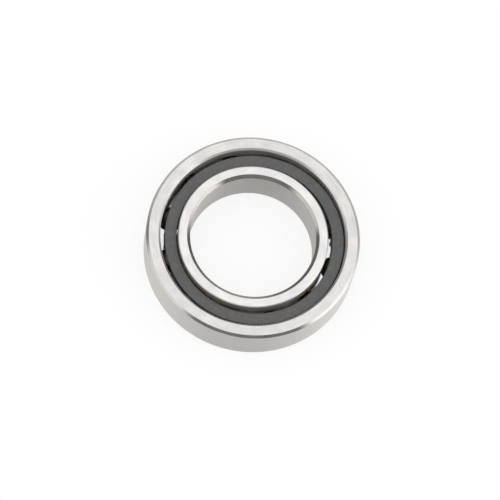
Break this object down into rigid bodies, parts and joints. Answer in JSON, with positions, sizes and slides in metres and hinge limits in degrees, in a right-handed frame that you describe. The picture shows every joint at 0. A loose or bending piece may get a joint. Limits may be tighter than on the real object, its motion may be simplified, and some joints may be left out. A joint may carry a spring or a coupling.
{
  "type": "ball bearing",
  "caption": "Open single-row ball bearing: two grooved steel rings, a ring of steel balls and a one-piece snap cage.",
  "frame": {"origin": "on the bearing's axis, at the lower side face that it rests on", "axes": "+Z along the bearing's axis, towards the closed side of the cage; +X through the middle of ball_01"},
  "size_m": [0.068, 0.068, 0.015],
  "materials": {
    "ring_steel": "ground and polished",
    "ball_steel": "mirror polished",
    "cage_polymer": "moulded, satin"
  },
  "bodies": {
    "outer_ring": {"outer_ring": "ring_steel"},
    "inner_ring": {"inner_ring": "ring_steel"},
    "cage": {"cage": "cage_polymer"},
    "ball_01": {"ball_01": "ball_steel"},
    "ball_02": {"ball_02": "ball_steel"},
    "ball_03": {"ball_03": "ball_steel"},
    "ball_04": {"ball_04": "ball_steel"},
    "ball_05": {"ball_05": "ball_steel"},
    "ball_06": {"ball_06": "ball_steel"},
    "ball_07": {"ball_07": "ball_steel"},
    "ball_08": {"ball_08": "ball_steel"},
    "ball_09": {"ball_09": "ball_steel"},
    "ball_10": {"ball_10": "ball_steel"},
    "ball_11": {"ball_11": "ball_steel"},
    "ball_12": {"ball_12": "ball_steel"}
  },
  "joints": [
    {"name": "inner_ring_spin", "type": "hinge", "parent": "outer_ring", "child": "inner_ring", "pos_m": [0, 0, 0.0075], "axis": [0, 0, 1], "continuous": true},
    {"name": "cage_spin", "type": "hinge", "parent": "outer_ring", "child": "cage", "pos_m": [0, 0, 0.0075], "axis": [0, 0, 1], "continuous": true},
    {"name": "ball_01_roll", "type": "hinge", "parent": "cage", "child": "ball_01", "pos_m": [0.027, 0, 0.0075], "axis": [0, 0, 1], "continuous": true},
    {"name": "ball_02_roll", "type": "hinge", "parent": "cage", "child": "ball_02", "pos_m": [0.02338, 0.0135, 0.0075], "axis": [0, 0, 1], "continuous": true},
    {"name": "ball_03_roll", "type": "hinge", "parent": "cage", "child": "ball_03", "pos_m": [0.0135, 0.02338, 0.0075], "axis": [0, 0, 1], "continuous": true},
    {"name": "ball_04_roll", "type": "hinge", "parent": "cage", "child": "ball_04", "pos_m": [0, 0.027, 0.0075], "axis": [0, 0, 1], "continuous": true},
    {"name": "ball_05_roll", "type": "hinge", "parent": "cage", "child": "ball_05", "pos_m": [-0.0135, 0.02338, 0.0075], "axis": [0, 0, 1], "continuous": true},
    {"name": "ball_06_roll", "type": "hinge", "parent": "cage", "child": "ball_06", "pos_m": [-0.02338, 0.0135, 0.0075], "axis": [0, 0, 1], "continuous": true},
    {"name": "ball_07_roll", "type": "hinge", "parent": "cage", "child": "ball_07", "pos_m": [-0.027, 0, 0.0075], "axis": [0, 0, 1], "continuous": true},
    {"name": "ball_08_roll", "type": "hinge", "parent": "cage", "child": "ball_08", "pos_m": [-0.02338, -0.0135, 0.0075], "axis": [0, 0, 1], "continuous": true},
    {"name": "ball_09_roll", "type": "hinge", "parent": "cage", "child": "ball_09", "pos_m": [-0.0135, -0.02338, 0.0075], "axis": [0, 0, 1], "continuous": true},
    {"name": "ball_10_roll", "type": "hinge", "parent": "cage", "child": "ball_10", "pos_m": [0, -0.027, 0.0075], "axis": [0, 0, 1], "continuous": true},
    {"name": "ball_11_roll", "type": "hinge", "parent": "cage", "child": "ball_11", "pos_m": [0.0135, -0.02338, 0.0075], "axis": [0, 0, 1], "continuous": true},
    {"name": "ball_12_roll", "type": "hinge", "parent": "cage", "child": "ball_12", "pos_m": [0.02338, -0.0135, 0.0075], "axis": [0, 0, 1], "continuous": true}
  ],
  "couplings": [
    {"joint": "cage_spin", "follows": "inner_ring_spin", "ratio": 0.4265},
    {"joint": "ball_01_roll", "follows": "inner_ring_spin", "ratio": -3.3279},
    {"joint": "ball_02_roll", "follows": "inner_ring_spin", "ratio": -3.3279},
    {"joint": "ball_03_roll", "follows": "inner_ring_spin", "ratio": -3.3279},
    {"joint": "ball_04_roll", "follows": "inner_ring_spin", "ratio": -3.3279},
    {"joint": "ball_05_roll", "follows": "inner_ring_spin", "ratio": -3.3279},
    {"joint": "ball_06_roll", "follows": "inner_ring_spin", "ratio": -3.3279},
    {"joint": "ball_07_roll", "follows": "inner_ring_spin", "ratio": -3.3279},
    {"joint": "ball_08_roll", "follows": "inner_ring_spin", "ratio": -3.3279},
    {"joint": "ball_09_roll", "follows": "inner_ring_spin", "ratio": -3.3279},
    {"joint": "ball_10_roll", "follows": "inner_ring_spin", "ratio": -3.3279},
    {"joint": "ball_11_roll", "follows": "inner_ring_spin", "ratio": -3.3279},
    {"joint": "ball_12_roll", "follows": "inner_ring_spin", "ratio": -3.3279}
  ]
}
